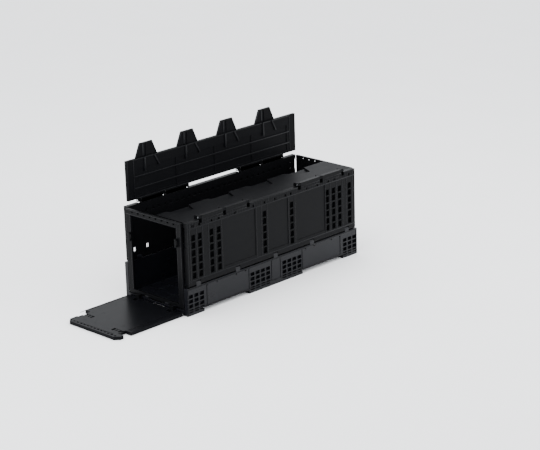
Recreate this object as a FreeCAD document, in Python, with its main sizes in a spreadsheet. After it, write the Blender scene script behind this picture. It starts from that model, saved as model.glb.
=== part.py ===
import FreeCAD, Part
import math
import os
import re
import Sketcher

# Long folding crate: a low tray, two long walls that fold inwards on rods, a half lid
# on each long wall, an end frame with a drop door at the left and a solid end wall at
# the right. Millimetres. Origin at the centre of the footprint, on the ground.
# X runs along the crate towards the solid end, Y from the front wall to the rear wall,
# Z up. The front lid is shut, the rear lid stands up and the door lies on the ground.

os.makedirs("parts", exist_ok=True)
doc = FreeCAD.newDocument("folding_crate")

SIZES = {
    # crate
    "crate_length": 1100,
    "crate_width": 400,
    "crate_height": 420,
    # tray
    "tray_height": 126,
    "floor_top": 24,
    "tray_wall": 20,
    "foot_height": 17,
    "foot_length": 99,
    "middle_foot": 344,
    "foot_channel": 100,
    "channel_height": 15,
    # clearances
    "gap": 1,
    "rod_play": 0.05,
    # long walls and their hinges
    "wall_thick": 22,
    "wall_rod_r": 3,
    "lug_length": 26,
    "lug_pitch": 240,
    # lids: crank is the offset of the plate's near face from the rod, reach its start
    "lid_thick": 13,
    "lid_crank": 8,
    "lid_start": 16,
    "lid_rod_r": 4.5,
    "lid_rod_height": "=crate_height + 8",
    "lid_rod_inset": 7,
    "lid_length": "=crate_length - 32",
    "lid_split": 6,
    "knuckle_r": 7,
    "arm_length": 16,
    "arm_pitch": 146,
    "arm_middle": 310,
    "tab_depth": 63,
    "tab_base": 129,
    "tab_tip": 73,
    "tab_thick": 4,
    "tab_pitch": 248,
    "tab_first": -410,
    # end frame, drop door and solid end
    "end_thick": 10,
    "end_width": "=crate_width - 48",
    "end_top": "=crate_height - 2",
    "end_axis_height": 31,
    "end_rod_r": 2.5,
    "end_lug": 20,
    "end_lug_place": 65,
    "post_width": 30,
    "top_bar": 25,
    "bottom_rail": 15,
    "door_thick": 15,
    "door_axis_height": 8.5,
    "door_axis_out": 9,
    "door_length": "=crate_height - 42",
    "door_width": "=crate_width - 46",
    "ear_width": 22,
    "ear_place": 110,
    "door_tip_step": 28,
    "notch_depth": 35,
    "front_notch_start": "=door_length - 80",
    "front_notch_end": "=door_length - 38",
    "rear_notch_start": "=door_length - 128",
    "rear_notch_end": "=door_length - 58",
    "latch_travel": 12,
    "latch_width": 22,
    "latch_body": 46,
    "latch_thick": 5,
    # ribbing cells
    "cell_depth": 13,
    "cell_width": 26,
    "tray_cell_height": 17,
    "tray_cell_pitch_z": 22,
    "tray_cell_first_z": 13,
    "rib": 7,
    "panel_depth": 2,
    "rail_hole_pitch": 59,
    "band_pitch": 37,
    "end_notch_pitch": 38,
    "end_grid_foot": 60,
    # openings in the rear wall
    "hole_first": 45,
    "hole_second": 121,
    "hole_width": 14,
    "hole_height": 19,
    "hole_rise": 40,
    "hole_skin": 4,
    "blind_depth": 5,
    "slot_start": 54,
    "slot_height": 7,
    "slot_low": 60,
    "slot_high": 32,
    # catches at the ends of the long walls
    "catch_length": 12,
    "catch_step": 3,
    # ridges on the lids' undersides and ribs under the tabs
    "ridge_near": 42,
    "ridge_far": 96,
    "lid_border": 55,
    "lid_edge": 45,
    "tab_rib_root": 40,
    "tab_rib_tip": 8,
    # details of the door, its keepers and its latches
    "keeper_out": 12,
    "keeper_inset": 4,
    "keeper_width": 10,
    "keeper_margin": 16,
    "tip_chamfer": 20,
    "tip_notch_pitch": 22,
    "tip_notch_shift": 10,
    "tip_notch_length": 12,
    "tip_notch_near": 8,
    "tip_notch_far": 16,
    "tip_notch_depth": 6,
    "door_rib_inset": 12,
    "door_rib_pitch": 9,
    "door_rib_width": 3,
    "door_rib_root": 30,
    "bolt_length": 18,
    "grip_margin": 3,
    "grip_near": 9,
    "grip_far": 17,
}

sheet = doc.addObject("Spreadsheet::Sheet", "Sizes")
for row, (alias, value) in enumerate(SIZES.items(), start=1):
    sheet.set(f"A{row}", alias)
    sheet.set(f"B{row}", str(value))
    sheet.setAlias(f"B{row}", alias)
doc.recompute()

WORD = re.compile(r"[a-z][a-z_]*")


def formula(text):
    """Point every size name in a formula at its cell of the sheet."""
    def cell(match):
        word = match.group(0)
        return f"Sizes.{word}" if word in SIZES else word
    return WORD.sub(cell, str(text))


def bind(item, **properties):
    """Bind properties to formulas; a double underscore stands for a dot."""
    for name, text in properties.items():
        item.setExpression(name.replace("__", "."), formula(text))


def place(item, x="0", y="0", z="0"):
    bind(item, Placement__Base__x=x, Placement__Base__y=y, Placement__Base__z=z)


def block(x, y, z):
    """A box between the low and high formulas of x, y and z."""
    box = doc.addObject("Part::Box", "block")
    bind(box, Length=f"({x[1]}) - ({x[0]})", Width=f"({y[1]}) - ({y[0]})",
         Height=f"({z[1]}) - ({z[0]})")
    place(box, x[0], y[0], z[0])
    return box


TURN = {"x": FreeCAD.Rotation(FreeCAD.Vector(0, 1, 0), 90),
        "y": FreeCAD.Rotation(FreeCAD.Vector(1, 0, 0), -90)}


def bar(axis, radius, span, **at):
    """A round bar along x or y between the formulas in span."""
    rod = doc.addObject("Part::Cylinder", "bar")
    rod.Placement = FreeCAD.Placement(FreeCAD.Vector(), TURN[axis])
    bind(rod, Radius=radius, Height=f"({span[1]}) - ({span[0]})")
    where = {"x": "0", "y": "0", "z": "0"}
    where.update(at)
    where[axis] = span[0]
    place(rod, **where)
    return rod


def join(pieces):
    if len(pieces) == 1:
        return pieces[0]
    fuse = doc.addObject("Part::MultiFuse", "join")
    fuse.Shapes = pieces
    fuse.Refine = True
    return fuse


def cut(solid, tools):
    """Cut the tools from the solid, as one feature."""
    trimmed = doc.addObject("Part::Cut", "cut")
    trimmed.Base = solid
    trimmed.Tool = join(tools)
    trimmed.Refine = True
    return trimmed


def outline(body, name, plane, points, height=None):
    """A closed outline on a plane of the body, each corner held by two formulas."""
    sketch = body.newObject("Sketcher::SketchObject", name)
    face = [item for item in body.Origin.OriginFeatures if item.Role == plane][0]
    sketch.AttachmentSupport = [(face, "")]
    sketch.MapMode = "FlatFace"
    if height is not None:
        sketch.setExpression("AttachmentOffset.Base.z", formula(height))
    count = len(points)
    corners = []
    for index in range(count):
        angle = 2 * math.pi * index / count
        corners.append(FreeCAD.Vector(50 * math.cos(angle), 50 * math.sin(angle), 0))
    for index in range(count):
        sketch.addGeometry(Part.LineSegment(corners[index], corners[(index + 1) % count]))
    for index in range(count):
        sketch.addConstraint(Sketcher.Constraint("Coincident", index, 2, (index + 1) % count, 1))
    for index, (across, up) in enumerate(points):
        for kind, start, text in (("DistanceX", corners[index].x, across),
                                  ("DistanceY", corners[index].y, up)):
            number = sketch.addConstraint(Sketcher.Constraint(kind, -1, 1, index, 1, start))
            sketch.setExpression(f"Constraints[{number}]", formula(text))
    return sketch


def pad(body, name, sketch, length, reverse=False):
    feature = body.newObject("PartDesign::Pad", name)
    feature.Profile = sketch
    feature.Reversed = reverse
    bind(feature, Length=length)
    return feature


def pocket(body, name, sketch, length, reverse=False):
    feature = body.newObject("PartDesign::Pocket", name)
    feature.Profile = sketch
    feature.Reversed = reverse
    bind(feature, Length=length)
    return feature


def rectangle(low, high):
    return [(low[0], low[1]), (high[0], low[1]), (high[0], high[1]), (low[0], high[1])]


NODES = {}


def keep(name, item):
    """Name a finished sub-part and list it for export."""
    item.Label = name
    NODES[name] = item
    return item


HALF_L = "crate_length / 2"
HALF_W = "crate_width / 2"
AXIS_Y = "(crate_width / 2 - wall_thick / 2)"
FOLD_R = "(wall_thick / 2)"
FRONT_AXIS_Z = "(tray_height + gap + wall_thick / 2)"
LID_ROD_Y = "(crate_width / 2 - lid_rod_inset)"
# Folded, the front wall carries its lid on its back, and the rear wall lies above both.
LID_BACK = "(wall_thick / 2 - lid_rod_inset + lid_crank + lid_thick)"
REAR_AXIS_Z = f"({FRONT_AXIS_Z} + {LID_BACK} + gap + wall_thick / 2)"
REAR_TRAY_TOP = f"({REAR_AXIS_Z} - wall_thick / 2 - gap / 2)"
WALL_END = "(crate_length / 2 - end_thick - gap)"
END_AXIS_X = "(crate_length / 2 - end_thick / 2)"
DOOR_AXIS_X = "(0 - crate_length / 2 - door_axis_out)"
LUGS = [f"({step} * lug_pitch)" for step in (-2, -1, 0, 1, 2)]
ARMS = [f"({side} * arm_middle + {step} * arm_pitch)" for side in (-1, 1) for step in (-1, 0, 1)]
EAR_TOP = "(end_axis_height + 3 * gap)"
END_LUGS = ["(0 - end_lug_place)", "end_lug_place"]
EARS = ["(0 - ear_place)", "ear_place"]
FRONT, REAR = -1, 1
CATCH_LOW = "(crate_height * 0.62)"
CATCH_HIGH = "(crate_height * 0.95)"
# Places along a long wall, as fractions of its length from the door end.
WALL_COLUMNS = (0.034, 0.071, 0.135, 0.176, 0.439, 0.602, 0.823, 0.862, 0.901, 0.964)
WALL_PANELS = ((0.198, 0.385), (0.459, 0.579), (0.629, 0.807))
RIM_CELLS = (0.034, 0.071, 0.14, 0.177, 0.27, 0.377, 0.44, 0.505, 0.565, 0.6, 0.7, 0.76, 0.83, 0.87, 0.964)
WALL_LEVELS = 3
BAND_POCKETS = 24
END_COLUMNS, END_LEVELS = 8, 6
TIP_NOTCHES = 14
DOOR_RIBS = 3


def around(centre, length, extra="0"):
    """The span of a length, plus extra at each end, about a centre."""
    return (f"{centre} - ({length}) / 2 - ({extra})", f"{centre} + ({length}) / 2 + ({extra})")


def outward(side, inner, outer):
    """The span between two distances from the middle, on the negative or the positive side."""
    if side < 0:
        return (f"0 - ({outer})", f"0 - ({inner})")
    return (inner, outer)


def cell_grid(side, first_x, columns, depth, pitch="cell_width + rib"):
    """Four rows of square cells in a side face of the tray."""
    cells = []
    for column in range(columns):
        low_x = f"{first_x} + {column} * ({pitch})"
        for level in range(4):
            low_z = f"tray_cell_first_z + {level} * tray_cell_pitch_z"
            cells.append(block((low_x, f"{low_x} + cell_width"),
                               outward(side, f"{HALF_W} - ({depth})", f"{HALF_W} + gap"),
                               (low_z, f"{low_z} + tray_cell_height")))
    return cells


def base_tray():
    half = HALF_L
    shell = [block((f"0 - {half}", half), (f"0 - {HALF_W}", HALF_W), ("0", "tray_height")),
             block((f"0 - {half}", half), (f"{HALF_W} - tray_wall", HALF_W),
                   ("tray_height - gap", REAR_TRAY_TOP))]
    lugs = []
    for side, top, axis_z in ((FRONT, "tray_height", FRONT_AXIS_Z), (REAR, REAR_TRAY_TOP, REAR_AXIS_Z)):
        for lug in LUGS:
            span = around(lug, "lug_length")
            lugs.append(block(span, outward(side, f"{HALF_W} - wall_thick", HALF_W),
                              (f"{top} - gap", axis_z)))
            lugs.append(bar("x", FOLD_R, span, y=f"{side} * {AXIS_Y}", z=axis_z))
    for end in (-1, 1):
        for lug in END_LUGS:
            span = around(lug, "end_lug")
            lugs.append(block(outward(end, f"{half} - end_thick", half), span,
                              ("floor_top - gap", "end_axis_height")))
            lugs.append(bar("y", "end_thick / 2", span, x=f"{end} * {END_AXIS_X}", z="end_axis_height"))
    cavity = block((f"0 - {half} - gap", f"{half} + gap"),
                   (f"0 - {HALF_W} + tray_wall", f"{HALF_W} - tray_wall"), ("floor_top", "2 * tray_height"))
    body = join([cut(join(shell), [cavity])] + lugs)
    hollows = []
    for end in (-1, 1):
        foot_edge = f"{half} - foot_length"
        hollows.append(block(outward(end, "middle_foot / 2", foot_edge),
                             (f"0 - {HALF_W} - gap", f"{HALF_W} + gap"), ("0 - gap", "foot_height")))
        hollows.append(block(outward(end, foot_edge, f"{half} + gap"),
                             ("0 - foot_channel / 2", "foot_channel / 2"), ("0 - gap", "channel_height")))
        hollows.append(bar("y", "end_rod_r + rod_play",
                           (f"0 - {HALF_W} + tray_wall / 2", f"{HALF_W} - tray_wall / 2"),
                           x=f"{end} * {END_AXIS_X}", z="end_axis_height"))
    for side, axis_z in ((FRONT, FRONT_AXIS_Z), (REAR, REAR_AXIS_Z)):
        hollows.append(bar("x", "wall_rod_r + rod_play", (f"0 - {half}", half),
                           y=f"{side} * {AXIS_Y}", z=axis_z))
        corner = f"{half} - rib - cell_width"
        pitch = "cell_width + rib"
        hollows += cell_grid(side, f"0 - {half} + rib", 3, "cell_depth")
        hollows += cell_grid(side, f"{corner} - 2 * ({pitch})", 3, "cell_depth")
        hollows += cell_grid(side, "0 - middle_foot / 2 + rib", 4, "cell_depth")
        hollows += cell_grid(side, f"middle_foot / 2 - 4 * ({pitch})", 4, "cell_depth")
        for end in (-1, 1):
            middle = f"{end} * (middle_foot / 4 + {half} / 2 - foot_length / 2)"
            for step in (-2, -1, 1, 2):
                hollows.append(block(around(f"{middle} + {step} * rail_hole_pitch", "rib + gap"),
                                     outward(side, f"{HALF_W} - cell_depth", f"{HALF_W} + gap"),
                                     ("tray_height - 2 * rib", "tray_height - rib + gap")))
    return keep("base_tray", cut(body, hollows))


def rear_wall_openings():
    """Holes low down near the left end and slots high up near the right end.

    The upper pair of holes goes through a thin skin. The lower pair is blind, as the hinge rod
    runs behind it.
    """
    inner = f"{HALF_W} - wall_thick"
    through = (f"{inner} - gap", f"{HALF_W} + gap")
    blind = (f"{inner} - gap", f"{inner} + blind_depth")
    openings = []
    for start in ("hole_first", "hole_second"):
        along = around(f"{start} - {HALF_L}", "hole_width")
        openings.append(block(along, through, around(f"{REAR_AXIS_Z} + hole_rise", "hole_height")))
        openings.append(block(along, blind, around(REAR_AXIS_Z, "hole_height")))
        openings.append(block(around(f"{start} - {HALF_L}", "hole_width", "wall_thick - hole_skin"),
                              (f"{inner} + hole_skin", f"{HALF_W} + gap"),
                              around(f"{REAR_AXIS_Z} + hole_rise", "hole_height", "wall_thick / 2 - gap")))
    for drop in ("slot_low", "slot_high"):
        openings.append(block((f"{HALF_L} - slot_start", f"{WALL_END} - catch_length - 2 * gap"), through,
                              around(f"crate_height - {drop}", "slot_height")))
    return openings


def long_wall(side, name, axis_z):
    """A long wall: ribbed outer face, hinge roll at the bottom, lid hinge blocks on top."""
    ends = (f"0 - {WALL_END}", WALL_END)
    thickness = outward(side, f"{HALF_W} - wall_thick", HALF_W)
    parts = [block(ends, thickness, (axis_z, "crate_height")),
             bar("x", FOLD_R, ends, y=f"{side} * {AXIS_Y}", z=axis_z)]
    for arm in ARMS[0:2] + ARMS[3:5]:
        span = (f"{arm} + arm_length / 2 + gap", f"{arm} + arm_pitch - arm_length / 2 - gap")
        across = outward(side, f"{LID_ROD_Y} - knuckle_r - 3 * gap", f"{LID_ROD_Y} + knuckle_r")
        parts.append(block(span, across,
                           ("crate_height - gap", "lid_rod_height + knuckle_r")))
    hollows = [bar("x", "wall_rod_r + rod_play", (f"0 - {HALF_L}", HALF_L), y=f"{side} * {AXIS_Y}", z=axis_z),
               bar("x", "lid_rod_r + rod_play", (f"0 - {HALF_L}", HALF_L), y=f"{side} * {LID_ROD_Y}",
                   z="lid_rod_height")]
    for lug in LUGS:
        hollows.append(block(around(lug, "lug_length", "gap"),
                             outward(side, f"{HALF_W} - 2 * wall_thick", f"{HALF_W} + gap"),
                             (f"{axis_z} - wall_thick", f"{axis_z} + wall_thick / 2 + 1.5 * gap")))
    sweep = "sqrt((lid_start + knuckle_r)^2 + knuckle_r^2) + gap / 2"
    for arm in ARMS:
        hollows.append(block(around(arm, "arm_length", "gap"),
                             outward(side, f"{LID_ROD_Y} - knuckle_r - 1.5 * gap", f"{HALF_W} + gap"),
                             (f"lid_rod_height - ({sweep})", "crate_height + gap")))
    face = outward(side, f"{HALF_W} - cell_depth", f"{HALF_W} + gap")
    shallow = outward(side, f"{HALF_W} - panel_depth", f"{HALF_W} + gap")
    low_z = f"{axis_z} + wall_thick + 3 * gap"
    rim = "crate_height - 2 * cell_width - rib"
    height = f"(({rim}) - ({low_z}) - {WALL_LEVELS - 1} * rib) / {WALL_LEVELS}"
    for column in WALL_COLUMNS:
        centre = f"({column} - 0.5) * 2 * {WALL_END}"
        for level in range(WALL_LEVELS):
            bottom = f"{low_z} + {level} * ({height} + rib)"
            hollows.append(block(around(centre, "cell_width - 3 * gap"), face,
                                 (bottom, f"{bottom} + {height}")))
    for left, right in WALL_PANELS:
        along = (f"({left} - 0.5) * 2 * {WALL_END}", f"({right} - 0.5) * 2 * {WALL_END}")
        hollows.append(block(along, shallow,
                             (f"{low_z} + rib", "crate_height - cell_width - rib")))
    for column in RIM_CELLS:
        hollows.append(block(around(f"({column} - 0.5) * 2 * {WALL_END}", "cell_width - 2 * rib"), face,
                             ("crate_height - cell_width", "crate_height - 2 * rib")))
    inner_face = outward(side, f"{HALF_W} - wall_thick - gap", f"{HALF_W} - wall_thick + 4 * gap")
    for index in range(BAND_POCKETS):
        centre = f"({index} - {(BAND_POCKETS - 1) / 2}) * band_pitch"
        hollows.append(block(around(centre, "cell_width - rib"), inner_face,
                             ("crate_height - 2 * cell_width + rib", "crate_height - cell_width - rib")))
    if side == REAR:
        hollows += rear_wall_openings()
    for end in (-1, 1):
        hollows.append(block(outward(end, f"{WALL_END} - catch_length", f"{WALL_END} + gap"),
                             outward(side, f"{HALF_W} - wall_thick - gap", f"{HALF_W} - wall_thick / 2"),
                             (CATCH_LOW, CATCH_HIGH)))
    return keep(name, cut(join(parts), hollows))


def corner_catch(side, end, name):
    """A stepped catch set into the inner edge of a long wall's end."""
    body = doc.addObject("PartDesign::Body", name)
    high = f"{CATCH_HIGH} - 0.3 * gap"
    low = f"{CATCH_LOW} + 0.3 * gap"
    far, step = "catch_length - 0.3 * gap", f"({high} - ({low})) / 3"
    points = [("0", low), (far, low), (far, high), ("2 * catch_step", high),
              ("2 * catch_step", f"{high} - {step}"), ("catch_step", f"{high} - {step}"),
              ("catch_step", f"{low} + {step}"), ("0", f"{low} + {step}")]
    sketch = outline(body, name + "_outline", "XZ_Plane", points)
    thick = "wall_thick / 2 - 0.3 * gap"
    pad(body, name + "_pad", sketch, thick)
    # The outline's x runs inwards from the wall's end, its thickness towards -Y.
    turn = 0 if end < 0 else 180
    body.Placement = FreeCAD.Placement(FreeCAD.Vector(), FreeCAD.Rotation(FreeCAD.Vector(0, 0, 1), turn))
    if side == FRONT:
        edge = f"0 - {HALF_W} + wall_thick" if end < 0 else f"0 - {HALF_W} + wall_thick - ({thick})"
    else:
        edge = f"{HALF_W} - wall_thick + ({thick})" if end < 0 else f"{HALF_W} - wall_thick"
    place(body, f"{end} * {WALL_END}", edge, "0")
    return keep(name, body)


def half_lid(name, depth, tabs):
    """A half lid in its own frame: rod along X at the origin, plate towards +Y and below."""
    body_top, body_low = "0 - lid_crank", "0 - lid_crank - lid_thick"
    half = "lid_length / 2"
    parts = [block((f"0 - {half}", half), ("lid_start", depth), (body_low, body_top))]
    hollows = []
    for arm in ARMS:
        span = around(arm, "arm_length")
        parts.append(bar("x", "knuckle_r", span))
        parts.append(block(span, ("0", "lid_start + knuckle_r"), ("0 - knuckle_r", "knuckle_r")))
        parts.append(block(span, ("lid_start", "lid_start + knuckle_r"), (body_low, "knuckle_r")))
    hollows.append(bar("x", "lid_rod_r + rod_play", (f"0 - {half}", half)))
    slopes = []
    for index in range(4):
        centre = f"(tab_first + {index} * tab_pitch)"
        if tabs:
            slopes.append((f"0 - {centre}", depth, f"{depth} + tab_depth", "0", body_top, "tab_thick"))
        else:
            slopes.append((centre, f"{depth} - tab_depth - 2 * gap", f"{depth} + gap", "2 * gap", body_top,
                           "tab_thick + rib / 2 + gap"))
    for number, (centre, low, high, extra, top, thick) in enumerate(slopes):
        body = doc.addObject("PartDesign::Body", f"{name}_wedge_{number}")
        wide, narrow = "tab_base / 2", "tab_tip / 2"
        if tabs:
            near, far = wide, narrow
        else:
            near, far = f"{narrow} + {extra}", f"{wide} + {extra}"
        points = [(f"{centre} - ({near})", low), (f"{centre} + ({near})", low),
                  (f"{centre} + ({far})", high), (f"{centre} - ({far})", high)]
        sketch = outline(body, f"{name}_wedge_outline_{number}", "XY_Plane", points, f"{top} - ({thick})")
        pad(body, f"{name}_wedge_pad_{number}", sketch, thick if tabs else f"{thick} + gap")
        (parts if tabs else hollows).append(body)
        if tabs:
            parts.append(block(around(centre, "rib / 2"),
                               (f"{depth} - tab_rib_root", f"{depth} + tab_depth - tab_rib_tip"),
                               (f"{body_top} - tab_thick - rib / 2 + gap / 2", f"{body_top} - gap")))
    # Three rows of shallow trays in the underside leave two ridges along the plate.
    pitch = "(lid_length - 2 * lid_border) / 4"
    for low, high in (("lid_start + 2 * rib", "lid_start + ridge_near"),
                      ("lid_start + ridge_near + rib", "lid_start + ridge_far"),
                      ("lid_start + ridge_far + rib", f"{depth} - lid_edge")):
        for cell in range(4):
            left = f"lid_border - lid_length / 2 + {cell} * {pitch}"
            hollows.append(block((f"{left} + rib / 2", f"{left} + {pitch} - rib / 2"), (low, high),
                                 (f"{body_low} - gap", f"{body_low} + 3 * gap")))
    return keep(name, cut(join(parts), hollows))


def end_panel(name, end, opening):
    """An end: hinge roll at the bottom on a rod across the tray; open frame or solid plate."""
    half = "end_width / 2"
    low, high = f"{END_AXIS_X} - end_thick / 2", f"{END_AXIS_X} + end_thick / 2"
    span = (low, high) if end > 0 else (f"0 - ({high})", f"0 - ({low})")
    sides = (f"0 - {half}", half)
    parts = [block(span, sides, ("end_axis_height", "end_top")),
             bar("y", "end_thick / 2", sides, x=f"{end} * {END_AXIS_X}", z="end_axis_height")]
    hollows = [bar("y", "end_rod_r + rod_play", (f"0 - {HALF_W}", HALF_W), x=f"{end} * {END_AXIS_X}",
                   z="end_axis_height")]
    wide = (f"0 - {HALF_L} - gap", f"0 - {WALL_END}") if end < 0 else (WALL_END, f"{HALF_L} + gap")
    for lug in END_LUGS:
        hollows.append(block(wide, around(lug, "end_lug", "gap"),
                             ("floor_top", "end_axis_height + end_thick / 2 + 1.5 * gap")))
    if opening:
        hollows.append(block(wide, (f"0 - {half} + post_width", f"{half} - post_width"),
                             ("end_axis_height + bottom_rail", "end_top - top_bar")))
        for ear in EARS:
            reach = (f"{DOOR_AXIS_X} - door_thick / 2", f"{DOOR_AXIS_X} + door_thick / 2")
            parts.append(block(reach, around(ear, "ear_width"),
                               ("door_axis_height", EAR_TOP)))
            parts.append(block((f"{DOOR_AXIS_X}", f"0 - {END_AXIS_X}"), around(ear, "ear_width"),
                               ("end_axis_height - end_thick / 2", EAR_TOP)))
            parts.append(bar("y", "door_thick / 2", around(ear, "ear_width"), x=DOOR_AXIS_X,
                             z="door_axis_height"))
        hollows.append(bar("y", "end_rod_r + rod_play", (f"0 - {HALF_W}", HALF_W), x=DOOR_AXIS_X,
                           z="door_axis_height"))
        for side, start, stop in ((FRONT, "front_notch_start", "front_notch_end"),
                                  (REAR, "rear_notch_start", "rear_notch_end")):
            middle = f"(door_axis_height + ({start} + {stop}) / 2)"
            inner = f"{half} - notch_depth + keeper_inset"
            parts.append(block((f"0 - {HALF_L} - keeper_out", f"0 - {HALF_L} + gap"),
                               outward(side, inner, f"{inner} + keeper_width"),
                               around(middle, "latch_width + keeper_margin")))
            slot = (f"{DOOR_AXIS_X} - gap", f"{DOOR_AXIS_X} + latch_thick")
            hollows.append(block(slot, outward(side, f"{inner} - gap", f"{inner} + keeper_width + gap"),
                                 around(middle, "latch_width", "gap / 2")))
    else:
        outer = f"{half} - post_width"
        pitch_y = f"(2 * ({outer}) / {END_COLUMNS})"
        pitch_z = f"((end_top - top_bar - end_grid_foot) / {END_LEVELS})"
        for column in range(END_COLUMNS):
            for level in range(END_LEVELS):
                left = f"0 - ({outer}) + {column} * {pitch_y}"
                bottom = f"end_grid_foot + {level} * {pitch_z}"
                hollows.append(block((f"{HALF_L} - end_thick / 2", f"{HALF_L} + gap"),
                                     (f"{left} + rib / 2", f"{left} + {pitch_y} - rib / 2"),
                                     (f"{bottom} + rib / 2", f"{bottom} + {pitch_z} - rib / 2")))
    for index in range(END_COLUMNS):
        hollows.append(block(wide, around(f"({index} - {(END_COLUMNS - 1) / 2}) * end_notch_pitch",
                                          "cell_width - 2 * rib"),
                             ("end_top - 2 * rib", "end_top - rib")))
    return keep(name, cut(join(parts), hollows))


def left_door():
    """The drop door, lying outwards on the ground from its rod at the foot of the frame."""
    body = doc.addObject("PartDesign::Body", "left_door_plate")
    half = "door_width / 2"
    along = f"{DOOR_AXIS_X} - "
    step = f"{half} - door_tip_step"
    points = [
        (DOOR_AXIS_X, f"0 - {half}"), (DOOR_AXIS_X, half),
        (f"{along} rear_notch_start", half), (f"{along} rear_notch_start", f"{half} - notch_depth"),
        (f"{along} rear_notch_end", f"{half} - notch_depth"), (f"{along} rear_notch_end", step),
        (f"{along} door_length + tip_chamfer", step), (f"{along} door_length", f"{step} - tip_chamfer"),
        (f"{along} door_length", f"tip_chamfer - {half}"),
        (f"{along} door_length + tip_chamfer", f"0 - {half}"),
        (f"{along} front_notch_end", f"0 - {half}"), (f"{along} front_notch_end", f"notch_depth - {half}"),
        (f"{along} front_notch_start", f"notch_depth - {half}"),
        (f"{along} front_notch_start", f"0 - {half}"),
    ]
    sketch = outline(body, "door_outline", "XY_Plane", points, "door_axis_height - door_thick / 2")
    pad(body, "door_pad", sketch, "door_thick")
    top = "door_axis_height + door_thick / 2"
    roll = bar("y", "door_thick / 2", (f"0 - {half}", half), x=DOOR_AXIS_X, z="door_axis_height")
    ribs = []
    hollows = [bar("y", "end_rod_r + rod_play", (f"0 - {HALF_W}", HALF_W), x=DOOR_AXIS_X,
                   z="door_axis_height")]
    for ear in EARS:
        ear_r = f"sqrt(({EAR_TOP} - door_axis_height)^2 + (door_thick / 2)^2) + gap"
        hollows.append(block((f"{DOOR_AXIS_X} - ({ear_r})", f"{DOOR_AXIS_X} + door_thick"),
                             around(ear, "ear_width", "gap"), ("0 - gap", "2 * door_thick")))
    for side, start, stop in ((FRONT, "front_notch_start", "front_notch_end"),
                              (REAR, "rear_notch_start", "rear_notch_end")):
        middle = f"({DOOR_AXIS_X} - ({start} + {stop}) / 2)"
        inner = f"{half} - notch_depth"
        hollows.append(block(around(middle, "latch_width", "0.3 * gap"),
                             outward(side, f"{inner} - latch_body - latch_travel", f"{inner} + gap"),
                             ("door_axis_height - 0.8 * gap", f"{top} + gap")))
    for index in range(TIP_NOTCHES):
        across = f"({index} - {(TIP_NOTCHES - 1) / 2}) * tip_notch_pitch - tip_notch_shift"
        reach = (f"{along} door_length + tip_notch_near", f"{along} door_length + tip_notch_far")
        hollows.append(block(reach, around(across, "tip_notch_length"),
                             (f"{top} - tip_notch_depth", f"{top} + gap")))
    for index in range(DOOR_RIBS):
        rib_y = f"door_rib_inset + {index} * door_rib_pitch - {half}"
        ribs.append(block((f"{along} front_notch_start + door_rib_inset", f"{along} door_rib_root"),
                          (rib_y, f"{rib_y} + door_rib_width"), (f"{top} - gap", f"{top} + gap")))
    return keep("left_door", cut(join([body, roll] + ribs), hollows))


def door_latch(side, name):
    """A sliding bolt drawn back in its channel, flush with the door's upper face."""
    body = doc.addObject("PartDesign::Body", name)
    start, stop = (("front_notch_start", "front_notch_end") if side == FRONT
                   else ("rear_notch_start", "rear_notch_end"))
    thick = "(door_thick / 2 - 0.5 * gap)"
    points = [("0", "0"), ("latch_body", "0"), ("latch_body", "latch_thick - gap"),
              ("latch_body - bolt_length", "latch_thick - gap"), ("latch_body - bolt_length", thick),
              ("0", thick)]
    sketch = outline(body, name + "_side", "YZ_Plane", points)
    pad(body, name + "_pad", sketch, "latch_width - 0.4 * gap")
    grip = outline(body, name + "_grip", "XY_Plane",
                   rectangle(("grip_margin", "grip_near"),
                             ("latch_width - 0.4 * gap - grip_margin", "grip_far")), thick)
    pocket(body, name + "_finger_hollow", grip, "grip_margin")
    middle = f"({DOOR_AXIS_X} - ({start} + {stop}) / 2)"
    turn = 180 if side == FRONT else 0
    body.Placement = FreeCAD.Placement(FreeCAD.Vector(), FreeCAD.Rotation(FreeCAD.Vector(0, 0, 1), turn))
    half_width = "(latch_width - 0.4 * gap) / 2"
    root = "(door_width / 2 - notch_depth - latch_body)"
    place(body, f"{middle} + {half_width}" if side == FRONT else f"{middle} - {half_width}",
          f"{side} * {root}", "door_axis_height - 0.4 * gap")
    return keep(name, body)


def rod(name, axis, radius, span, **at):
    """A steel rod with its ends square."""
    return keep(name, bar(axis, radius, span, **at))



base_tray()
long_wall(FRONT, "front_wall", FRONT_AXIS_Z)
long_wall(REAR, "rear_wall", REAR_AXIS_Z)
for side, side_word in ((FRONT, "front"), (REAR, "rear")):
    for end, end_word in ((-1, "left"), (1, "right")):
        corner_catch(side, end, f"{side_word}_{end_word}_catch")

front_lid = half_lid("front_lid", f"({LID_ROD_Y} - lid_split - gap)", tabs=False)
place(front_lid, "0", f"0 - {LID_ROD_Y}", "lid_rod_height")
rear_lid = half_lid("rear_lid", f"({LID_ROD_Y} + lid_split - gap)", tabs=True)
tipped_up = FreeCAD.Rotation(FreeCAD.Vector(1, 0, 0), -90)
upright = tipped_up.multiply(FreeCAD.Rotation(FreeCAD.Vector(0, 0, 1), 180))
rear_lid.Placement = FreeCAD.Placement(FreeCAD.Vector(), upright)
place(rear_lid, "0", LID_ROD_Y, "lid_rod_height")

end_panel("left_end_frame", -1, opening=True)
end_panel("right_end_wall", 1, opening=False)
left_door()
door_latch(FRONT, "door_latch_front")
door_latch(REAR, "door_latch_rear")

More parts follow.
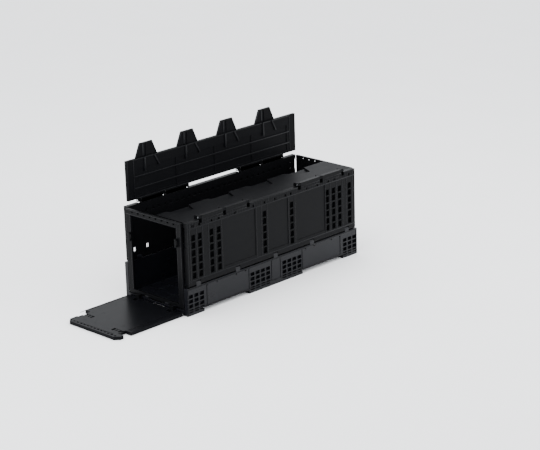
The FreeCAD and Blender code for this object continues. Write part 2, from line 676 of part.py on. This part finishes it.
rod_end = f"({WALL_END} - catch_length)"
rod("front_wall_rod", "x", "wall_rod_r", (f"0 - {rod_end}", rod_end), y=f"0 - {AXIS_Y}", z=FRONT_AXIS_Z)
rod("rear_wall_rod", "x", "wall_rod_r", (f"0 - {rod_end}", rod_end), y=AXIS_Y, z=REAR_AXIS_Z)
for side, side_word in ((FRONT, "front"), (REAR, "rear")):
    for end, end_word in ((-1, "left"), (1, "right")):
        rod(f"{side_word}_lid_rod_{end_word}", "x", "lid_rod_r",
            around(f"{end} * arm_middle", "2 * arm_pitch + arm_length - 2 * gap"),
            y=f"{side} * {LID_ROD_Y}", z="lid_rod_height")
end_rod = (f"0 - {HALF_W} + tray_wall / 2 + gap", f"{HALF_W} - tray_wall / 2 - gap")
rod("left_frame_rod", "y", "end_rod_r", end_rod, x=f"0 - {END_AXIS_X}", z="end_axis_height")
rod("right_wall_rod", "y", "end_rod_r", end_rod, x=END_AXIS_X, z="end_axis_height")
rod("left_door_rod", "y", "end_rod_r", ("0 - door_width / 2 + gap", "door_width / 2 - gap"), x=DOOR_AXIS_X,
    z="door_axis_height")

doc.recompute()
for item in doc.Objects:
    if "Invalid" in item.State or "Error" in item.State:
        raise RuntimeError(f"{item.Label} did not recompute: {item.State}")
for node, item in NODES.items():
    if item.Shape.isNull() or not item.Shape.isValid():
        raise RuntimeError(f"{node} has no valid shape")
    if not item.Shape.Solids:
        raise RuntimeError(f"{node} has no solid")
    item.Shape.exportStep(f"parts/{node}.step")
    print(node, len(item.Shape.Solids), round(item.Shape.Volume / 1000), item.Shape.BoundBox)
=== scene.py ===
"""Looks of a long black folding crate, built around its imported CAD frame."""
import logging
import math
from dataclasses import dataclass
from enum import Enum
from typing import Iterable, Sequence, Union

import bpy
from mathutils import Matrix, Vector


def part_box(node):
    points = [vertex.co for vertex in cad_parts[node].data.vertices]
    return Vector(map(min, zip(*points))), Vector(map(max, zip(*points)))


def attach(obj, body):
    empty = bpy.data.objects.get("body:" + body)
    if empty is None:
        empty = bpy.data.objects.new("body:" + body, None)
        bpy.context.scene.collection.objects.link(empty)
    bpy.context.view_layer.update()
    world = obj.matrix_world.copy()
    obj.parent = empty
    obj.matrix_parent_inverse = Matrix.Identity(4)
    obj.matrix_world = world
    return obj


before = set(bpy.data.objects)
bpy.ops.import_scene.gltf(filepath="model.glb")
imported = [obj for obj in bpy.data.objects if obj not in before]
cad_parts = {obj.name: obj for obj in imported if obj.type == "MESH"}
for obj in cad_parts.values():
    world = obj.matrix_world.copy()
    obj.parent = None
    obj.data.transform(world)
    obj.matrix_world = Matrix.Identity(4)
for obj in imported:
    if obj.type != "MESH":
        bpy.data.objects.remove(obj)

LOG = logging.getLogger("crate")
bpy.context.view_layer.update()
MM = 0.001
# The places of the lids' arms along the crate, and the room that rim pieces leave on each side.
ARMS = (-0.456, -0.310, -0.164, 0.164, 0.310, 0.456)
ARM_ROOM = 0.010
# The columns of tall cells in the long walls, as shares of a wall's length from the door end.
CELL_COLUMNS = (0.034, 0.071, 0.135, 0.176, 0.439, 0.602, 0.823, 0.862, 0.901, 0.964)
HOLED_COLUMN = 0.05
# The rear lid's tabs: their centres along the crate and how far they stand past the lid's edge.
TAB_CENTRES = (-0.410, -0.162, 0.086, 0.334)
TAB_DEPTH = 63 * MM
# The upright ribs on the tray's sides: the lower ends at the corners and elsewhere, and the top.
CORNER_RIB_FOOT = 0.004
PANEL_RIB_FOOT = 0.022
PANEL_RIB_TOP = 0.121


# --------------------------------------------------------------------------- shader maths
class Field:
    """A number that varies over a surface, with arithmetic that adds Math nodes."""

    def __init__(self, board: "Board", socket: bpy.types.NodeSocket) -> None:
        """Wrap an output socket.

        Args:
            board: the material's board that the socket is on.
            socket: the output to wrap.
        """
        self.board = board
        self.socket = socket

    def _math(self, operation: str, *others: "Number") -> "Field":
        """Add one Math node fed by the others, in order, and return its result."""
        node = self.board.node("ShaderNodeMath", {"operation": operation}, dict(enumerate(others)))
        return Field(self.board, node.outputs[0])

    def __add__(self, other: "Number") -> "Field":
        """Sum."""
        return self._math("ADD", self, other)

    def __radd__(self, other: "Number") -> "Field":
        """Sum, reflected."""
        return self._math("ADD", other, self)

    def __sub__(self, other: "Number") -> "Field":
        """Difference."""
        return self._math("SUBTRACT", self, other)

    def __rsub__(self, other: "Number") -> "Field":
        """Difference, reflected."""
        return self._math("SUBTRACT", other, self)

    def __mul__(self, other: "Number") -> "Field":
        """Product."""
        return self._math("MULTIPLY", self, other)

    def __rmul__(self, other: "Number") -> "Field":
        """Product, reflected."""
        return self._math("MULTIPLY", other, self)

    def clamp(self) -> "Field":
        """The value held between 0 and 1."""
        return Field(self.board, self.board.node("ShaderNodeClamp", {}, {0: self}).outputs[0])


Number = Union[Field, float]
Colour = tuple[float, float, float]


class Board:
    """The node board of one material, from its texture coordinates to its shader."""

    def __init__(self, name: str) -> None:
        """Start an empty board.

        Args:
            name: the material's name.
        """
        self.material = bpy.data.materials.new(name)
        self.material.use_nodes = True
        self.tree = self.material.node_tree
        self.tree.nodes.clear()

    def node(self, kind: str, settings: dict | None = None, values: dict | None = None) -> bpy.types.Node:
        """Add a node, set it up, then fill its sockets.

        Args:
            kind: the node's type.
            settings: its properties, set first.
            values: its sockets by name or number, each a number, a colour, a Field or a socket.

        Returns:
            The new node.
        """
        made = self.tree.nodes.new(kind)
        for key, value in (settings or {}).items():
            setattr(made, key, value)
        for key, value in (values or {}).items():
            if isinstance(value, Field):
                self.tree.links.new(value.socket, made.inputs[key])
            elif isinstance(value, bpy.types.NodeSocket):
                self.tree.links.new(value, made.inputs[key])
            else:
                made.inputs[key].default_value = value
        return made

    def place(self, stretch: tuple[float, float, float] = (1.0, 1.0, 1.0)) -> bpy.types.NodeSocket:
        """Object coordinates in metres, stretched along the axes."""
        here = self.node("ShaderNodeTexCoord").outputs["Object"]
        return self.node("ShaderNodeMapping", {}, {"Vector": here, "Scale": stretch}).outputs[0]

    def noise(self, scale: float, detail: float = 3.0,
              stretch: tuple[float, float, float] = (1.0, 1.0, 1.0)) -> Field:
        """Soft noise with that many lumps to the metre."""
        made = self.node("ShaderNodeTexNoise", {},
                         {"Vector": self.place(stretch), "Scale": scale, "Detail": detail})
        return Field(self, made.outputs[0])

    def band(self, value: Field, low: float, high: float) -> Field:
        """0 below low, 1 above high and a smooth step between."""
        made = self.node("ShaderNodeMapRange", {"interpolation_type": "SMOOTHSTEP"},
                         {"Value": value, "From Min": low, "From Max": high})
        return Field(self, made.outputs[0])

    def blend(self, factor: Field, first: object, second: object) -> bpy.types.NodeSocket:
        """Mix two colours by a factor."""
        made = self.node("ShaderNodeMix", {"data_type": "RGBA"}, {0: factor, 6: first, 7: second})
        return made.outputs[2]

    def round_edges(self, radius: float) -> tuple[bpy.types.NodeSocket, Field]:
        """A normal that rounds sharp edges, and a mask that is 1 on them.

        Args:
            radius: the edge radius in metres.

        Returns:
            The rounded normal and the edge mask.
        """
        rounded = self.node("ShaderNodeBevel", {"samples": 4}, {"Radius": radius}).outputs[0]
        flat = self.node("ShaderNodeNewGeometry").outputs["True Normal"]
        dot = self.node("ShaderNodeVectorMath", {"operation": "DOT_PRODUCT"}, {0: rounded, 1: flat})
        return rounded, ((1.0 - Field(self, dot.outputs["Value"])) * 6.0).clamp()

    def facing_up(self) -> Field:
        """1 on level tops, 0 on walls and undersides."""
        normal = self.node("ShaderNodeNewGeometry").outputs["Normal"]
        split = self.node("ShaderNodeSeparateXYZ", {}, {0: normal})
        return self.band(Field(self, split.outputs["Z"]), 0.75, 0.98)


def rgba(colour: Colour) -> tuple[float, float, float, float]:
    """A colour with full opacity."""
    return (*colour, 1.0)


@dataclass(frozen=True)
class MouldedPlastic:
    """Black polypropylene as it leaves the mould: a fine grain, handling scuffs, a little dust.

    Attributes:
        name: the finish's name.
        tone: its colour; on the ribbed finish it is darker, as painted shade.
        sheen: the middle roughness.
        grain: how deep the grain is, in metres.
        dust: how much dust lies on level tops.
        gloss: the strength of its reflections, as a specular level.
    """

    name: str
    tone: Colour = (0.0045, 0.0048, 0.0060)
    sheen: float = 0.34
    grain: float = 0.00003
    dust: float = 0.25
    gloss: float = 0.30

    def make(self) -> bpy.types.Material:
        """Build the material."""
        board = Board(self.name)
        cloud = board.noise(7.0, 4.0)
        streak = board.noise(55.0, 3.0, (0.15, 1.0, 1.0))
        grain = board.noise(1400.0, 2.0)
        scuff = board.band(board.noise(38.0, 6.0, (1.0, 1.0, 0.35)), 0.60, 0.74)
        normal, edge = board.round_edges(1.1 * MM)
        # Sharp edges made lighter and broken up by noise: partly real edge wear, partly a painted highlight
        # on the edges.
        edge_wear_and_highlight = (edge * board.band(board.noise(90.0, 4.0), 0.35, 0.70)).clamp()
        dust = (board.facing_up() * board.band(board.noise(22.0, 6.0), 0.35, 0.75) * self.dust).clamp()
        darker = tuple(0.72 * part for part in self.tone)
        worn_and_highlight_tone = tuple(3.0 * part + 0.003 for part in self.tone)
        colour = board.blend(cloud, rgba(darker), rgba(tuple(1.25 * part for part in self.tone)))
        colour = board.blend((scuff * 0.35).clamp(), colour, rgba(tuple(1.9 * part for part in self.tone)))
        # Mix in the lighter edge colour: part wear, part painted highlight.
        colour = board.blend((edge_wear_and_highlight * 0.55).clamp(), colour, rgba(worn_and_highlight_tone))
        colour = board.blend((dust * 0.5).clamp(), colour, rgba((0.030, 0.029, 0.028)))
        rough = (self.sheen - 0.05 + cloud * 0.07 + streak * 0.05 + scuff * 0.10 + dust * 0.5).clamp()
        relief = board.node("ShaderNodeBump", {}, {"Strength": 0.35, "Distance": self.grain,
                                                   "Height": grain, "Normal": normal})
        shader = board.node("ShaderNodeBsdfPrincipled", {}, {
            "Base Color": colour, "Roughness": rough, "Normal": relief.outputs[0],
            "IOR": 1.49, "Specular IOR Level": self.gloss})
        board.node("ShaderNodeOutputMaterial", {}, {0: shader.outputs[0]})
        return board.material


@dataclass(frozen=True)
class DrawnSteel:
    """Bright drawn rod: fine lines along its length and dull spots of oxide.

    Attributes:
        name: the finish's name.
        along: the stretch that runs the drawing lines along the rod.
    """

    name: str
    along: tuple[float, float, float]

    def make(self) -> bpy.types.Material:
        """Build the material."""
        board = Board(self.name)
        lines = board.noise(1500.0, 2.0, self.along)
        oxide = board.band(board.noise(160.0, 5.0), 0.56, 0.72)
        colour = board.blend(lines, rgba((0.42, 0.43, 0.45)), rgba((0.60, 0.61, 0.62)))
        colour = board.blend((oxide * 0.6).clamp(), colour, rgba((0.16, 0.13, 0.11)))
        rough = (0.22 + lines * 0.14 + oxide * 0.30).clamp()
        relief = board.node("ShaderNodeBump", {}, {"Strength": 0.2, "Distance": 0.00002, "Height": lines})
        shader = board.node("ShaderNodeBsdfPrincipled", {}, {
            "Base Color": colour, "Roughness": rough, "Metallic": 0.95, "Normal": relief.outputs[0]})
        board.node("ShaderNodeOutputMaterial", {}, {0: shader.outputs[0]})
        return board.material


class Finish(Enum):
    """The finishes of the crate."""

    # The ribbed walls' plastic has a darker tone and weaker reflections than the other plastic: painted shade
    # for the hollows of the lattice.
    RIBBED = MouldedPlastic("ribbed plastic", tone=(0.0022, 0.0023, 0.0027), sheen=0.40, dust=0.04,
                            gloss=0.05)
    SMOOTH = MouldedPlastic("smooth plastic", tone=(0.0030, 0.0032, 0.0045), sheen=0.28, grain=0.00002,
                            dust=0.02, gloss=0.16)
    DOOR = MouldedPlastic("door plastic", tone=(0.0026, 0.0027, 0.0034), sheen=0.30, grain=0.00002,
                          dust=0.01, gloss=0.03)
    LID = MouldedPlastic("lid plastic", tone=(0.0024, 0.0025, 0.0030), sheen=0.44, dust=0.03, gloss=0.03)
    TRIM = MouldedPlastic("rib plastic", tone=(0.0034, 0.0036, 0.0044), sheen=0.36, dust=0.04, gloss=0.10)
    ROD_LONG = DrawnSteel("rod steel along", (0.02, 1.0, 1.0))
    ROD_CROSS = DrawnSteel("rod steel across", (1.0, 0.02, 1.0))


class Paintbox:
    """Makes each finish once and puts it on pieces."""

    def __init__(self) -> None:
        """Start with nothing made."""
        self.made: dict[Finish, bpy.types.Material] = {}

    def dress(self, piece: bpy.types.Object, finish: Finish) -> None:
        """Give a piece one finish all over.

        Args:
            piece: the piece or CAD node.
            finish: which finish it gets.
        """
        if finish not in self.made:
            self.made[finish] = finish.value.make()
        if not piece.material_slots:
            piece.data.materials.append(None)
        for holder in piece.material_slots:
            holder.material = self.made[finish]


# --------------------------------------------------------------------------- modelling bench
class Bench:
    """Models pieces by hand tools: primitives shaped in edit mode, then copied."""

    @staticmethod
    def clear() -> None:
        """Select nothing."""
        if bpy.context.mode != "OBJECT":
            bpy.ops.object.mode_set(mode="OBJECT")
        bpy.ops.object.select_all(action="DESELECT")

    @classmethod
    def block(cls, low: Vector, high: Vector, soft: float, segments: int = 2) -> bpy.types.Object:
        """A softened block between two corners.

        Args:
            low: its lowest corner.
            high: its highest corner.
            soft: the edge radius.
            segments: steps in each rounded edge.

        Returns:
            The block, with its place in its mesh.
        """
        cls.clear()
        bpy.ops.mesh.primitive_cube_add(size=1.0, location=(low + high) / 2)
        piece = bpy.context.object
        piece.scale = high - low
        bpy.ops.object.transform_apply(location=True, rotation=True, scale=True)
        bpy.ops.object.mode_set(mode="EDIT")
        bpy.ops.mesh.select_all(action="SELECT")
        bpy.ops.mesh.bevel(offset=soft, segments=segments, affect="EDGES", clamp_overlap=True)
        bpy.ops.object.mode_set(mode="OBJECT")
        return piece

    @classmethod
    def copies(cls, piece: bpy.types.Object, shifts: Iterable[Vector]) -> list[bpy.types.Object]:
        """Copies of a piece, each with its own mesh, moved by the shifts."""
        made = []
        for shift in shifts:
            twin = piece.copy()
            twin.data = piece.data.copy()
            twin.data.transform(Matrix.Translation(shift))
            bpy.context.scene.collection.objects.link(twin)
            made.append(twin)
        return made

    @classmethod
    def merge(cls, name: str, pieces: Sequence[bpy.types.Object]) -> bpy.types.Object:
        """Join pieces into one and name it."""
        cls.clear()
        for piece in pieces:
            piece.select_set(True)
        bpy.context.view_layer.objects.active = pieces[0]
        if len(pieces) > 1:
            bpy.ops.object.join()
        joined = bpy.context.view_layer.objects.active
        joined.name = name
        joined.data.name = name
        bpy.ops.object.shade_smooth_by_angle(angle=math.radians(32))
        cls.clear()
        return joined


@dataclass
class SubAssembly:
    """A group of pieces that ride on one body of the frame.

    Attributes:
        paint: the paintbox.
        body: the body that the pieces ride on.
    """

    paint: Paintbox
    body: str

    def fit(self, name: str, pieces: Sequence[bpy.types.Object],
            finish: Finish = Finish.TRIM) -> bpy.types.Object:
        """Join, dress and mount pieces on the body.

        Args:
            name: the piece's name.
            pieces: what it is joined from.
            finish: its finish.

        Returns:
            The mounted piece.
        """
        piece = Bench.merge(name, pieces)
        self.paint.dress(piece, finish)
        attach(piece, self.body)
        LOG.info("%s rides on %s with %d faces", name, self.body, len(piece.data.polygons))
        return piece


@dataclass
class TrayTrim(SubAssembly):
    """Ridges and ribs on the tray's sides.

    Attributes:
        proud: how far the ridges stand out.
        ridge: the ridges' height.
    """

    proud: float = 2.0 * MM
    ridge: float = 5.0 * MM

    def build(self) -> None:
        """Model the ridge rails, the panel edges and the floor's grid."""
        low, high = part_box("base_tray")
        self.side_rails(low, high)
        self.panel_edges(low, high)
        self.floor_grid(low, high)

    def side_rails(self, low: Vector, high: Vector) -> None:
        """A rail along each side, just under the top edge and above the feet."""
        rails = []
        for side, face in ((-1, low.y), (1, high.y)):
            for level in (0.118, 0.0195):
                near, far = sorted((face - side * self.proud, face + side * self.proud))
                rails.append(Bench.block(Vector((low.x + 2 * MM, near, level)),
                                         Vector((high.x - 2 * MM, far, level + self.ridge)), 0.8 * MM))
        self.fit("tray_side_rails", rails)

    def panel_edges(self, low: Vector, high: Vector) -> None:
        """Upright ribs that part the ribbed blocks from the smooth panels."""
        length = high.x - low.x
        ribs = []
        for side, face in ((-1, low.y), (1, high.y)):
            near, far = sorted((face - side * self.proud, face + side * self.proud))
            for share in (0.004, 0.107, 0.343, 0.474, 0.526, 0.657, 0.893, 0.996):
                middle = low.x + share * length
                foot = CORNER_RIB_FOOT if share in (0.004, 0.996) else PANEL_RIB_FOOT
                ribs.append(Bench.block(Vector((middle - 2 * MM, near, foot)),
                                        Vector((middle + 2 * MM, far, PANEL_RIB_TOP)), 0.7 * MM))
        self.fit("tray_panel_edges", ribs)

    def floor_grid(self, low: Vector, high: Vector) -> None:
        """Low stiffening ribs across the inside floor."""
        rib = Bench.block(Vector((low.x + 30 * MM, -0.165, 0.0235)),
                          Vector((low.x + 34 * MM, 0.165, 0.0252)), 0.5 * MM)
        pitch = (high.x - low.x - 64 * MM) / 14
        cross = [rib] + Bench.copies(rib, [Vector((pitch * step, 0, 0)) for step in range(1, 15)])
        runs = [Bench.block(Vector((low.x + 30 * MM, y - 2 * MM, 0.0235)),
                            Vector((high.x - 30 * MM, y + 2 * MM, 0.0251)), 0.5 * MM)
                for y in (-0.11, 0.0, 0.11)]
        self.fit("tray_floor_grid", cross + runs, Finish.SMOOTH)


@dataclass
class LongWallTrim(SubAssembly):
    """Edging on a long wall: its bottom rail, panel frames, posts and rim.

    Attributes:
        node: the wall's CAD node.
        side: -1 at the front, 1 at the rear.
        proud: how far the edging stands out.
    """

    node: str = "front_wall"
    side: int = -1
    proud: float = 0.9 * MM

    def build(self) -> None:
        """Model the edging of the outer face."""
        self.low, self.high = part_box(self.node)
        self.face = self.low.y if self.side < 0 else self.high.y
        self.rim_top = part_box("left_end_frame")[1].z + 2 * MM
        self.rails()
        self.frames()
        self.posts()
        self.rim_ribs()
        self.cell_bars()
        if self.side > 0:
            self.hinge_covers()

    def cell_bars(self) -> None:
        """A bar across the middle of every tall cell, set just behind the wall's face."""
        shares = [share for share in CELL_COLUMNS if self.side < 0 or share > HOLED_COLUMN]
        bottom, top = self.low.z + 36 * MM, self.rim_top - 59 * MM
        tall = (top - bottom - 14 * MM) / 3
        near, far = sorted((self.face - self.side * 12 * MM, self.face - self.side * 0.5 * MM))
        bars = []
        for share in shares:
            middle = self.along(share)
            for level in range(3):
                height = bottom + level * (tall + 7 * MM) + tall / 2
                bars.append(Bench.block(Vector((middle - 12 * MM, near, height - 3 * MM)),
                                        Vector((middle + 12 * MM, far, height + 3 * MM)), 0.7 * MM))
        self.fit(f"{self.node}_cell_bars", bars, Finish.RIBBED)

    def runs(self, left: float, right: float) -> list[tuple[float, float]]:
        """The parts of a stretch along the wall that keep clear of the lid's arms.

        Args:
            left: where the stretch starts.
            right: where it ends.

        Returns:
            The clear parts, in order.
        """
        clear = []
        start = left
        for arm in ARMS:
            if left < arm - ARM_ROOM and arm + ARM_ROOM < right:
                clear.append((start, arm - ARM_ROOM))
                start = arm + ARM_ROOM
        clear.append((start, right))
        return clear

    def rim_ribs(self) -> None:
        """A close row of short ribs between the two rim rails, and borders of the long hinge boxes."""
        bottom, top = self.rim_top - 27 * MM, self.rim_top - 4 * MM
        count = int((self.high.x - self.low.x - 40 * MM) / (15 * MM))
        ribs = []
        for step in range(count):
            left = self.low.x + 20 * MM + 15 * MM * step
            if all(abs(left + 1 * MM - arm) > ARM_ROOM for arm in ARMS):
                ribs.append(self.strip(left, left + 2 * MM, bottom, top))
        for left, right in ((0.105, 0.364), (0.641, 0.90)):
            for level in (self.rim_top - 16 * MM, self.rim_top - 3 * MM):
                for start, end in self.runs(self.along(left), self.along(right)):
                    ribs.append(self.strip(start, end, level, level + 2.5 * MM))
        self.fit(f"{self.node}_rim_ribs", ribs)

    def hinge_covers(self) -> None:
        """Upright strips on the rim that close the slit under the upright lid, between its arms."""
        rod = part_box("rear_lid_rod_left")
        axis_y, axis_z = (rod[0].y + rod[1].y) / 2, (rod[0].z + rod[1].z) / 2
        covers = []
        for first, second in ((0, 1), (1, 2), (3, 4), (4, 5)):
            low = Vector((ARMS[first] + ARM_ROOM, axis_y - 10 * MM, self.rim_top - 1 * MM))
            high = Vector((ARMS[second] - ARM_ROOM, axis_y - 6 * MM, axis_z + 13 * MM))
            covers.append(Bench.block(low, high, 0.8 * MM))
        self.fit(f"{self.node}_hinge_covers", covers, Finish.LID)

    def strip(self, left: float, right: float, bottom: float, top: float) -> bpy.types.Object:
        """A softened strip on the outer face, in metres along the wall and up."""
        near, far = sorted((self.face - self.side * self.proud, self.face + self.side * self.proud))
        return Bench.block(Vector((left, near, bottom)), Vector((right, far, top)), 0.7 * MM)

    def along(self, share: float) -> float:
        """The place of a share of the wall's length."""
        return self.low.x + share * (self.high.x - self.low.x)

    def rails(self) -> None:
        """Rails along the rim and above the hinge roll."""
        base = self.low.z + 27 * MM
        strips = [self.strip(self.low.x, self.high.x, base, base + 4 * MM),
                  self.strip(self.low.x, self.high.x, self.rim_top - 31 * MM, self.rim_top - 27 * MM)]
        for start, end in self.runs(self.low.x, self.high.x):
            strips.append(self.strip(start, end, self.rim_top - 4 * MM, self.rim_top - 1 * MM))
        self.fit(f"{self.node}_rails", strips)

    def frames(self) -> None:
        """Ribs beside the smooth panels and the columns of cells."""
        bottom, top = self.low.z + 31 * MM, self.rim_top - 31 * MM
        strips = []
        for share in (0.0525, 0.0865, 0.119, 0.155, 0.192, 0.391, 0.421, 0.456, 0.582, 0.622, 0.812, 0.842,
                      0.881, 0.920, 0.945):
            middle = self.along(share)
            strips.append(self.strip(middle - 1.6 * MM, middle + 1.6 * MM, bottom, top))
        self.fit(f"{self.node}_panel_ribs", strips)

    def posts(self) -> None:
        """Raised edges of the end posts."""
        strips = []
        for share in (0.004, 0.016, 0.984, 0.996):
            middle = self.along(share)
            strips.append(self.strip(middle - 2 * MM, middle + 2 * MM, self.low.z + 20 * MM, self.rim_top))
        self.fit(f"{self.node}_post_edges", strips)


@dataclass
class RearLidTrim(SubAssembly):
    """Ridges on the face of the upright lid."""

    def build(self) -> None:
        """Model the long ridges and the end strips."""
        low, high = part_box("rear_lid")
        face = low.y
        plate_low = low.z + 22 * MM
        plate_high = high.z - TAB_DEPTH
        ridges = []
        for level in (plate_low + 2 * MM, plate_low + 48 * MM, plate_low + 101 * MM, plate_high - 5 * MM):
            ridges.append(Bench.block(Vector((low.x + 42 * MM, face - 1.6 * MM, level)),
                                      Vector((high.x - 42 * MM, face + 2 * MM, level + 4 * MM)), 0.7 * MM))
        for near in (low.x + 2 * MM, low.x + 38 * MM, high.x - 41 * MM, high.x - 5 * MM):
            ridges.append(Bench.block(Vector((near, face - 1.8 * MM, plate_low + 1 * MM)),
                                      Vector((near + 3 * MM, face + 2 * MM, plate_high - 1 * MM)), 0.7 * MM))
        self.fit("rear_lid_ridges", ridges)
        self.tab_ribs(low, high)

    def tab_ribs(self, low: Vector, high: Vector) -> None:
        """An upright rib, a rim on three sides and a slanting rib on the inner face of each tab."""
        root, tip = high.z - TAB_DEPTH, high.z
        back, front = low.y + 12 * MM, low.y + 7 * MM
        ribs = []
        for centre in TAB_CENTRES:
            upright = centre - 18 * MM
            ribs.append(Bench.block(Vector((upright - 4 * MM, low.y - 5 * MM, root - 66 * MM)),
                                    Vector((upright + 4 * MM, low.y + 1 * MM, root)), 1 * MM))
            ribs.append(Bench.block(Vector((upright - 4 * MM, front, root - 1 * MM)),
                                    Vector((upright + 4 * MM, back, tip - 6 * MM)), 1 * MM))
            for hand in (-1, 1):
                ribs.append(self.slanted(centre + hand * 62 * MM, root, centre + hand * 35 * MM, tip - 1 * MM,
                                         front, back))
            ribs.append(self.slanted(centre + 39 * MM, root - 1 * MM, centre + 66 * MM, root - 53 * MM,
                                     low.y - 5 * MM, low.y + 1 * MM))
            ribs.append(Bench.block(Vector((centre - 36 * MM, front, tip - 5 * MM)),
                                    Vector((centre + 36 * MM, back, tip - 1 * MM)), 0.8 * MM))
        self.fit("rear_lid_tab_ribs", ribs)

    @staticmethod
    def slanted(x_one: float, z_one: float, x_two: float, z_two: float, near: float, far: float
                ) -> bpy.types.Object:
        """A slim bar between two points of an upright plane.

        Args:
            x_one: the first point along the lid.
            z_one: the first point's height.
            x_two: the second point along the lid.
            z_two: the second point's height.
            near: its low y.
            far: its high y.

        Returns:
            The bar, with its place in its mesh.
        """
        span = Vector((x_two - x_one, 0, z_two - z_one))
        depth = (far - near) / 2
        piece = Bench.block(Vector((-3 * MM, -depth, -span.length / 2)),
                            Vector((3 * MM, depth, span.length / 2)), 0.7 * MM)
        middle = Vector(((x_one + x_two) / 2, (near + far) / 2, (z_one + z_two) / 2))
        turn = Matrix.Rotation(math.atan2(span.x, span.z), 4, "Y")
        piece.data.transform(Matrix.Translation(middle) @ turn)
        return piece


@dataclass
class EndFrameTrim(SubAssembly):
    """Raised edges on the outer face of the open end frame's posts and top bar."""

    def build(self) -> None:
        """Model the post ribs and the top bar's row of ribs."""
        low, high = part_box("left_end_frame")
        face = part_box("base_tray")[0].x
        strips = []
        for y_near in (low.y + 2 * MM, low.y + 25 * MM, high.y - 28 * MM, high.y - 5 * MM):
            strips.append(Bench.block(Vector((face - 0.5 * MM, y_near, 0.050)),
                                      Vector((face + 2 * MM, y_near + 3 * MM, high.z - 26 * MM)), 0.7 * MM))
        for level in (high.z - 25 * MM, high.z - 5 * MM):
            strips.append(Bench.block(Vector((face - 0.5 * MM, low.y + 2 * MM, level)),
                                      Vector((face + 2 * MM, high.y - 2 * MM, level + 3 * MM)), 0.7 * MM))
        self.fit("end_frame_edges", strips)


@dataclass
class DoorTrim(SubAssembly):
    """Raised borders along the inner face of the door, which lies face up."""

    def build(self) -> None:
        """Model the borders of the near and far edges and the rim inside the tip."""
        low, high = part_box("left_door")
        face = high.z - 1 * MM
        strips = []
        for near in (low.y + 4 * MM, high.y - 7 * MM):
            strips.append(Bench.block(Vector((high.x - 290 * MM, near, face - 1 * MM)),
                                      Vector((high.x - 40 * MM, near + 3 * MM, face + 0.8 * MM)), 0.5 * MM))
        strips.append(Bench.block(Vector((low.x + 20 * MM, low.y + 45 * MM, face - 1 * MM)),
                                  Vector((low.x + 23 * MM, high.y - 70 * MM, face + 0.8 * MM)), 0.5 * MM))
        self.fit("door_borders", strips, Finish.DOOR)


@dataclass
class Studio:
    """The floor, the lights and the camera."""

    target: Vector
    place: Vector
    roll: float
    lens: float

    def build(self) -> None:
        """Set the floor, the lights and the camera."""
        self.floor()
        self.lights()
        self.camera()

    def floor(self) -> None:
        """A wide pale floor."""
        Bench.clear()
        bpy.ops.mesh.primitive_plane_add(size=60.0, location=(0, 0, 0))
        floor = bpy.context.object
        floor.name = "studio_floor"
        board = Board("studio floor")
        speck = board.noise(3.0, 2.0)
        colour = board.blend(speck, rgba((0.92, 0.92, 0.92)), rgba((0.95, 0.95, 0.95)))
        shader = board.node("ShaderNodeBsdfPrincipled", {}, {"Base Color": colour, "Roughness": 0.85})
        board.node("ShaderNodeOutputMaterial", {}, {0: shader.outputs[0]})
        floor.data.materials.append(board.material)

    def lights(self) -> None:
        """A pale world and three soft panels."""
        world = bpy.data.worlds.new("studio")
        bpy.context.scene.world = world
        world.use_nodes = True
        world.node_tree.nodes["Background"].inputs[0].default_value = (0.95, 0.97, 1.0, 1.0)
        world.node_tree.nodes["Background"].inputs[1].default_value = 2.5
        for name, spot, size, power in (("overhead", (0.3, 0.2, 3.2), 3.0, 70.0),
                                        ("left", (-3.2, -0.8, 1.8), 2.0, 35.0),
                                        ("front", (1.6, -3.4, 1.6), 2.0, 30.0)):
            lamp = bpy.data.lights.new(name, "AREA")
            lamp.shape = "SQUARE"
            lamp.size = size
            lamp.energy = power
            holder = bpy.data.objects.new(name, lamp)
            holder.location = spot
            aim = Vector((0, 0, 0.25)) - Vector(spot)
            holder.rotation_euler = aim.to_track_quat("-Z", "Y").to_euler()
            bpy.context.scene.collection.objects.link(holder)

    def camera(self) -> None:
        """A long lens looking down on the open end and the front side."""
        back = (self.place - self.target).normalized()
        right = Vector((0, 0, 1)).cross(back).normalized()
        up = back.cross(right)
        tilted = math.cos(self.roll) * right + math.sin(self.roll) * up
        upright = back.cross(tilted)
        data = bpy.data.cameras.new("camera")
        data.sensor_width = 36.0
        data.sensor_fit = "HORIZONTAL"
        data.lens = self.lens
        holder = bpy.data.objects.new("camera", data)
        turn = Matrix((tilted, upright, back)).transposed()
        holder.matrix_world = Matrix.Translation(self.place) @ turn.to_4x4()
        bpy.context.scene.collection.objects.link(holder)
        bpy.context.scene.camera = holder


def dress_frame(paint: Paintbox) -> None:
    """Give every CAD node its finish."""
    lids = ("front_lid", "rear_lid")
    for name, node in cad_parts.items():
        if name.endswith("_rod") or "_rod_" in name:
            low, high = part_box(name)
            finish = Finish.ROD_LONG if high.x - low.x > high.y - low.y else Finish.ROD_CROSS
        elif name == "left_door":
            finish = Finish.DOOR
        elif name == "base_tray":
            finish = Finish.SMOOTH
        elif name in lids:
            finish = Finish.LID
        else:
            # The ribbed walls and end frames take the darkened ribbed finish, painted shade for their cells.
            finish = Finish.RIBBED
        paint.dress(node, finish)
        LOG.info("%s is dressed in %s", name, finish.name)


def main() -> None:
    """Build the crate's looks in order."""
    logging.basicConfig(level=logging.INFO, format="%(message)s")
    paint = Paintbox()
    dress_frame(paint)
    TrayTrim(paint, "tray").build()
    LongWallTrim(paint, "front_side", node="front_wall", side=-1).build()
    LongWallTrim(paint, "rear_side", node="rear_wall", side=1).build()
    RearLidTrim(paint, "rear_lid_half").build()
    EndFrameTrim(paint, "left_frame").build()
    DoorTrim(paint, "door").build()
    Studio(target=Vector((-0.032, -0.200, 0.287)), place=Vector((-5.31, -5.40, 2.71)),
           roll=math.radians(-1.6), lens=116.5).build()


if __name__ == "__main__":
    main()
